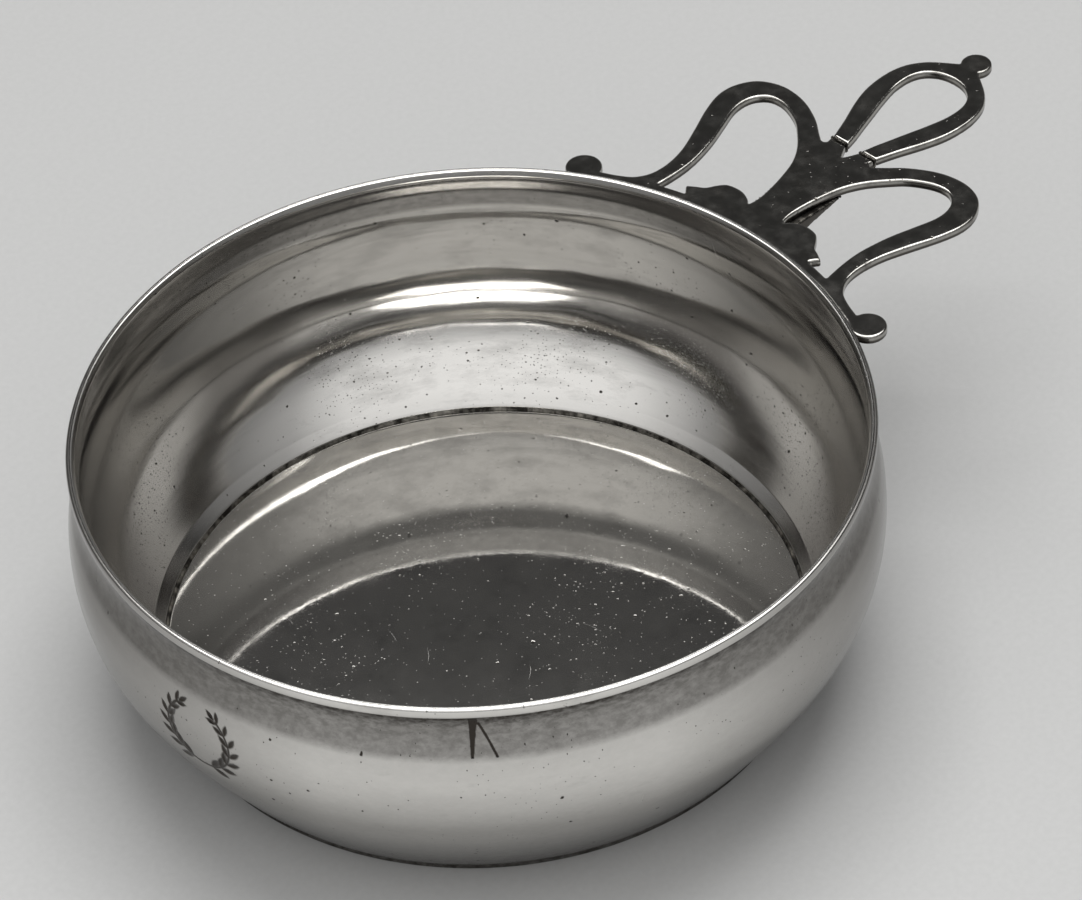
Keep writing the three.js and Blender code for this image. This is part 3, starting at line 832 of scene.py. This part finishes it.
# %% Engraved spray and old split
SPRAY_RADIUS, STEM_WIDTH, CUT_DEPTH, SPLIT_SHARE = 6.5 * MM, 0.6 * MM, 0.2 * MM, 0.7
STEM_FROM, STEM_TO = math.radians(-100), math.radians(52)
LEAVES = [(STEM_TO, 0, 2.6 * MM, 1.0 * MM)]
for k in range(7):
    size = (3.9 - 0.22 * k) * MM
    LEAVES += [(math.radians(-74 + 20 * k), spread, size, 0.4 * size) for spread in (-34, 34)]


def leaf(u, v, foot, lean, length, width):
    """How deep one leaf is cut at points (u, v), from 0 to 1."""
    du, dv = u - foot[0], v - foot[1]
    along = np.clip((du * math.cos(lean) + dv * math.sin(lean)) / length, 0, 1)
    across = np.abs(dv * math.cos(lean) - du * math.sin(lean))
    half = width / 2 * np.sin(np.pi * along) + 1e-9
    return np.clip(1 - across / half, 0, 1) * np.sin(np.pi * along)


def spray(u, v):
    """How deep the two mirrored sprigs are cut at points (u, v) round their middle."""
    deep = np.zeros_like(u)
    for side in (-1, 1):
        angle = np.arctan2(v, side * u)
        off = np.abs(np.hypot(u, v) - SPRAY_RADIUS)
        on_stem = (angle > STEM_FROM) & (angle < STEM_TO) & (side * u > -0.8 * MM)
        deep = np.maximum(deep, np.where(on_stem, 0.6 * np.clip(1 - off / (STEM_WIDTH / 2), 0, 1), 0))
        for turn, spread, length, width in LEAVES:
            foot = side * SPRAY_RADIUS * math.cos(turn), SPRAY_RADIUS * math.sin(turn)
            lean = turn + math.radians(90 + spread)
            lean = lean if side > 0 else math.pi - lean
            deep = np.maximum(deep, leaf(u, v, foot, lean, length, width))
    return deep


def old_split(u, z):
    """How deep the split gapes: a wedge that narrows downwards, and a crack that leans away."""
    down = np.clip((SPLIT_HIGH - z) / (SPLIT_HIGH - SPLIT_LOW), 0, 1)
    ends = (z > SPLIT_LOW) & (z < SPLIT_HIGH)
    wedge = np.clip(1 - np.abs(u - (0.6 - 0.4 * down) * MM) / ((0.75 - 0.5 * down) * MM), 0, 1)
    crack = np.clip(1 - np.abs(u - (1.1 + 3.1 * down) * MM) / (0.24 * MM), 0, 1)
    return np.where(ends, np.maximum(wedge, crack * (down > 0.1)), 0)


def round_from(places, angle):
    """How far round the wall each place lies from this angle."""
    turn = np.arctan2(places[:, 1], places[:, 0] - BOWL_X) - angle
    return ((turn + np.pi) % (2 * np.pi) - np.pi) * BOWL_RADIUS


# %% Cutting the wall
co = np.array([v.co for v in wall.data.vertices])
out = np.array([v.normal for v in wall.data.vertices])
outside = out[:, 0] * (co[:, 0] - BOWL_X) + out[:, 1] * co[:, 1] > 0
leaves = spray(round_from(co, SPRAY_AT), co[:, 2] - SPRAY_HEIGHT)
gape = SPLIT_SHARE * old_split(round_from(co, SPLIT_AT), co[:, 2])
cut = np.where(outside, np.maximum(leaves, gape), 0)
co -= out * (CUT_DEPTH * cut)[:, None]
wall.data.vertices.foreach_set("co", co.ravel())
wall.data.attributes.new("engraved", "FLOAT", "POINT").data.foreach_set("value", np.sqrt(cut))
wall.data.update()
print("engraved points:", int((cut > 0).sum()))
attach(wall, "root")
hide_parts("bowl_wall")

# %% [markdown]
# ## The rim wire
#
# A half-round wire is soldered round the mouth. Its section has one flat and one round side, so
# only the two edges of the flat count as corners. It is spun like the wall, with the same hammer
# waves, so that the two stay together.

# %% Rim wire
rim = spun("mouth_wire", wire_section, polished, even(360))
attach(rim, "root")
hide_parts("rim_wire")

# %% [markdown]
# ## The floor
#
# The floor is a disc of its own, domed by a few millimetres and polished like a mirror, but worn
# grey by spoons. Short scratches lie on it in all directions, and a little dust. Its section is
# open, because it ends on the axis, where the spinning tree joins the points to a pole.

# %% Floor disc
FLOOR_WAVES = {"Wave Out": 0.0, "Wave Up": 0.02 * MM, "Wave Size": 14 * MM}
# A worn mirror gives the eye a clear dark picture of the wall, with bright dust lying on it.
mirror = silver("worn_silver_mirror", "#B8B6B2", "#4A4641", roughness=0.03, raised=False, smear_mm=7,
                stain=0.3, pit_share=0.1, streaks=0.25, grain=0.0, scratch_share=0.15, dust_share=0.6)
floor_section = fair(section("floor_disc"), corner=40, step=1.2 * MM, ease=0.15 * MM, closed=False)
disc = spun("domed_floor", floor_section, mirror, even(240), closed=False, **FLOOR_WAVES)
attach(disc, "root")
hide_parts("floor_disc")

# %% [markdown]
# ## The foot
#
# A low plain ring keeps the bowl off the table. It could be bent from a strip, but spinning its
# section keeps it true to the wall that stands on it.

# %% Foot ring
foot = spun("low_foot", foot_section, polished, even(300))
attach(foot, "root")
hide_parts("foot_ring")

# %% [markdown]
# ## Solder
#
# Silver solder is an alloy with copper and zinc. It is yellower and duller than the silver, it
# doesn't polish as well, and it goes dark and pitted with age. The two round runs are spun too,
# with short lumpy waves.

# %% Aged silver solder
# Old solder gives the eye a dark, broken line between bright pieces: blotched, rough and pitted.
solder, tree, shader = new_material("aged_silver_solder")
held = node(tree, "ShaderNodeTexCoord").outputs["Object"]
blotch = noisy(tree, held, 2.6, 4.0, 0.7)
tint = node(tree, "ShaderNodeValToRGB", {0: blotch}, [(0.42, "#2C2A27"), (0.72, "#97938B")])
rough = ranged(tree, blotch, 0.35, 0.7, 0.55, 0.28)
bump = node(tree, "ShaderNodeBump", {"Height": blotch, "Distance": 0.06 * MM, "Strength": 0.8})
fill(tree, shader, {"Base Color": tint, "Metallic": 1.0, "Roughness": rough, "Normal": bump})
print("made", solder.name)

# %% Solder in the floor seam and over the foot
LUMPS = {"Wave Out": 0.04 * MM, "Wave Up": 0.1 * MM, "Wave Size": 2.6 * MM, "Wave Stretch": 1.5}
for node_name, seed in (("floor_solder", 1.0), ("foot_solder", 2.0)):
    seam_section = fair(section(node_name), corner=30, step=0.15 * MM, ease=0.08 * MM)
    seam = spun(node_name + "_run", seam_section, solder, even(480), Seed=seed, **LUMPS)
    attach(seam, "root")
    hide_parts(node_name)

# %% [markdown]
# ## The cast handle
#
# The handle was cast in sand, then filed and polished. Its outlines are read from the CAD model
# and smoothed, filled as a flat plate, and laid over with a fine even skin of small squares. That
# skin can be softened, which rounds every edge as a file and long use do.

# %% Helpers for cast pieces


def plate(name, loops, low, high, edge):
    """A flat plate in millimetres with rounded edges, between two heights of its outlines."""
    drawing = bpy.data.curves.new(name, "CURVE")
    drawing.dimensions, drawing.fill_mode = "2D", "BOTH"
    drawing.extrude = (high - low) / 2 / MM - edge
    drawing.bevel_depth, drawing.offset, drawing.bevel_resolution = edge, -edge, 2
    for loop in loops:
        line = drawing.splines.new("POLY")
        line.points.add(len(loop) - 1)
        for point, (x, y) in zip(line.points, loop):
            point.co = (x / MM, y / MM, 0, 1)
        line.use_cyclic_u = True
    drawn = add_object(name, drawing)
    mesh = baked(drawn)
    bpy.data.objects.remove(drawn)
    mesh.transform(Matrix.Translation((0, 0, (high + low) / 2 / MM)))
    return mesh


def cast(name, mesh, material, grain, rounds, uneven, size, seed):
    """Skins a mesh in millimetres with small squares, softens its edges and makes it uneven."""
    piece = add_object(name, mesh)
    skin = bmesh.new()
    skin.from_mesh(mesh)
    bmesh.ops.remove_doubles(skin, verts=skin.verts, dist=1e-4)
    bmesh.ops.recalc_face_normals(skin, faces=skin.faces)
    skin.to_mesh(mesh)
    skin.free()
    fine = piece.modifiers.new("fine_skin", "REMESH")
    fine.mode, fine.voxel_size = "VOXEL", grain
    soft = piece.modifiers.new("soft_edges", "SMOOTH")
    soft.factor, soft.iterations = 0.5, rounds
    result = baked(piece)
    piece.modifiers.clear()
    normals = [v.normal.copy() for v in result.vertices]
    shift = Vector((seed * 31.7, seed * 17.3, seed * 11.9))
    for vertex, normal in zip(result.vertices, normals):
        vertex.co += normal * uneven * noise.noise(vertex.co / size + shift)
    result.transform(Matrix.Scale(MM, 4))
    result.materials.clear()
    result.materials.append(material)
    piece.data = result
    return settle(piece)


# %% Handle plate and centre loop
HANDLE_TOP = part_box("handle_plate")[1].z
EDGE_MM = 0.35
PLATE_SKIN = {"grain": 0.19, "rounds": 2, "uneven": 0.03, "size": 5}
# Cast silver gives the eye a greyer, grainy metal: stained on top, and dark low on its sides, partly
# tarnish where unpolished and partly painted shade under the edge.
cast_metal = silver("cast_sterling_silver", "#A6A49F", "#403C38", roughness=0.09, raised=False,
                    smear_mm=5, stain=0.8, pit_share=0.05, streaks=0.0, grain=0.8,
                    scratch_share=0.1, tarnish_and_shade_below=HANDLE_TOP - 0.65 * MM)
for node_name, new_name, seed in (("handle_plate", "openwork_handle", 1),
                                  ("centre_loop", "mended_loop", 2)):
    low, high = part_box(node_name)
    loops = [fair(loop, corner=40, step=0.3 * MM, ease=0.25 * MM) for loop in outlines(node_name)]
    sawn = plate(new_name, loops, low.z, high.z, EDGE_MM)
    piece = cast(new_name, sawn, cast_metal, **PLATE_SKIN, seed=seed)
    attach(piece, "root")
    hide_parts(node_name)

# %% [markdown]
# ## The brace and the solder under and across the handle
#
# The tongue under the stem is a small casting, and the solder runs are lumps that flowed and set.
# Copies of the CAD solids give their place, and the same fine skin softens them.

# %% Brace and fillets
TONGUE_SKIN = {"grain": 0.2, "rounds": 5, "uneven": 0.08, "size": 3}
FILLET_SKIN = {"grain": 0.2, "rounds": 3, "uneven": 0.16, "size": 1.5}


def solid_mesh(name):
    """A CAD node's merged copy as a mesh in millimetres."""
    skin = merged_copy(name)
    mesh = bpy.data.meshes.new(name + "_copy")
    skin.to_mesh(mesh)
    skin.free()
    mesh.transform(Matrix.Scale(1 / MM, 4))
    return mesh


for node_name, new_name, metal, slot, feel, seed in (
        ("stem_brace", "stem_tongue", cast_metal, "cast_silver", TONGUE_SKIN, 3),
        ("handle_solder_left", "left_fillet", solder, "solder", FILLET_SKIN, 5),
        ("handle_solder_right", "right_fillet", solder, "solder", FILLET_SKIN, 6)):
    piece = cast(new_name, solid_mesh(node_name), metal, **feel, seed=seed)
    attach(piece, "root")
    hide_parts(node_name)

# %% [markdown]
# Solder that is fed in as small snippets sets in beads. Geometry Nodes strew them along a line: the
# two edges of the tongue, and the line across each mended leg. The beads then melt into the CAD
# model's thin solder under one skin.

# %% The bead tree
beads, given = new_tree("solder_beads", {"Bead Radius": "Float", "Spacing": "Float", "Jitter": "Float",
                                         "Seed": "Int", "Material": "Material"})
line = node(beads, "GeometryNodeMeshToCurve", {0: given["Geometry"]})
spots = node(beads, "GeometryNodeCurveToPoints", {0: line, "Length": given["Spacing"]}, mode="LENGTH")
chance = node(beads, "FunctionNodeRandomValue", {"Min": (-1, -1, -1), "Max": (1, 1, 1),
                                                 "Seed": given["Seed"]}, data_type="FLOAT_VECTOR")
astray = scaled(beads, chance, given["Jitter"])
moved = node(beads, "GeometryNodeSetPosition", {0: spots, "Offset": astray})
drop = node(beads, "GeometryNodeMeshIcoSphere", {"Radius": given["Bead Radius"], "Subdivisions": 2})
girth = node(beads, "FunctionNodeRandomValue", {"Min": 0.6, "Max": 1.25, "Seed": given["Seed"]},
             data_type="FLOAT")
strewn = node(beads, "GeometryNodeInstanceOnPoints", {"Points": moved, "Instance": drop,
                                                      "Scale": girth.outputs["Value"]})
real = node(beads, "GeometryNodeRealizeInstances", {0: strewn})
dressed = node(beads, "GeometryNodeSetMaterial", {0: real, "Material": given["Material"]})
node(beads, "NodeGroupOutput", {0: dressed})
print("bead tree:", len(beads.nodes), "nodes")

# %% Beaded seam and mends
BEAD_SKIN = {"rounds": 2, "uneven": 0.04, "size": 0.8}
MEND_INSET, MEND_SUNK = 0.5 * MM, 0.1 * MM


def beaded(node_name, new_name, lines, radius, spacing, jitter, grain, seed):
    """A CAD run of solder with beads along some lines, under one skin."""
    points = [end for pair in lines for end in pair]
    edges = [(2 * i, 2 * i + 1) for i in range(len(lines))]
    strewn = grow(new_name + "_beads", points, edges, beads, {
        "Bead Radius": radius, "Spacing": spacing, "Jitter": jitter, "Seed": seed, "Material": solder})
    strewn.data.transform(Matrix.Scale(1 / MM, 4))
    mesh = solid_mesh(node_name)
    both = bmesh.new()
    both.from_mesh(mesh)
    both.from_mesh(strewn.data)
    both.to_mesh(mesh)
    both.free()
    bpy.data.objects.remove(strewn)
    piece = cast(new_name, mesh, solder, grain, **BEAD_SKIN, seed=seed)
    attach(piece, "root")
    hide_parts(node_name)


low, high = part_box("brace_solder")
corners = {(round(v.co.x, 5), round(v.co.y, 5)) for v in merged_copy("brace_solder").verts}
root_half = max(y for x, y in corners if x < low.x + 1 * MM)
tip_half = max(y for x, y in corners if x > high.x - 1 * MM)
middle = (low.z + high.z) / 2
edges = [((low.x, side * root_half, middle), (high.x, side * tip_half, middle)) for side in (-1, 1)]
beaded("brace_solder", "tongue_seam", edges, radius=0.24 * MM, spacing=0.75 * MM, jitter=0.07 * MM,
       grain=0.12, seed=4)
for hand, seed in (("left", 7), ("right", 8)):
    low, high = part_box("mend_solder_" + hand)
    across = (low.x + high.x) / 2
    top = high.z - MEND_SUNK
    leg = [((across, low.y + MEND_INSET, top), (across, high.y - MEND_INSET, top))]
    beaded("mend_solder_" + hand, hand + "_mend", leg, radius=0.26 * MM, spacing=0.5 * MM,
           jitter=0.12 * MM, grain=0.09, seed=seed)
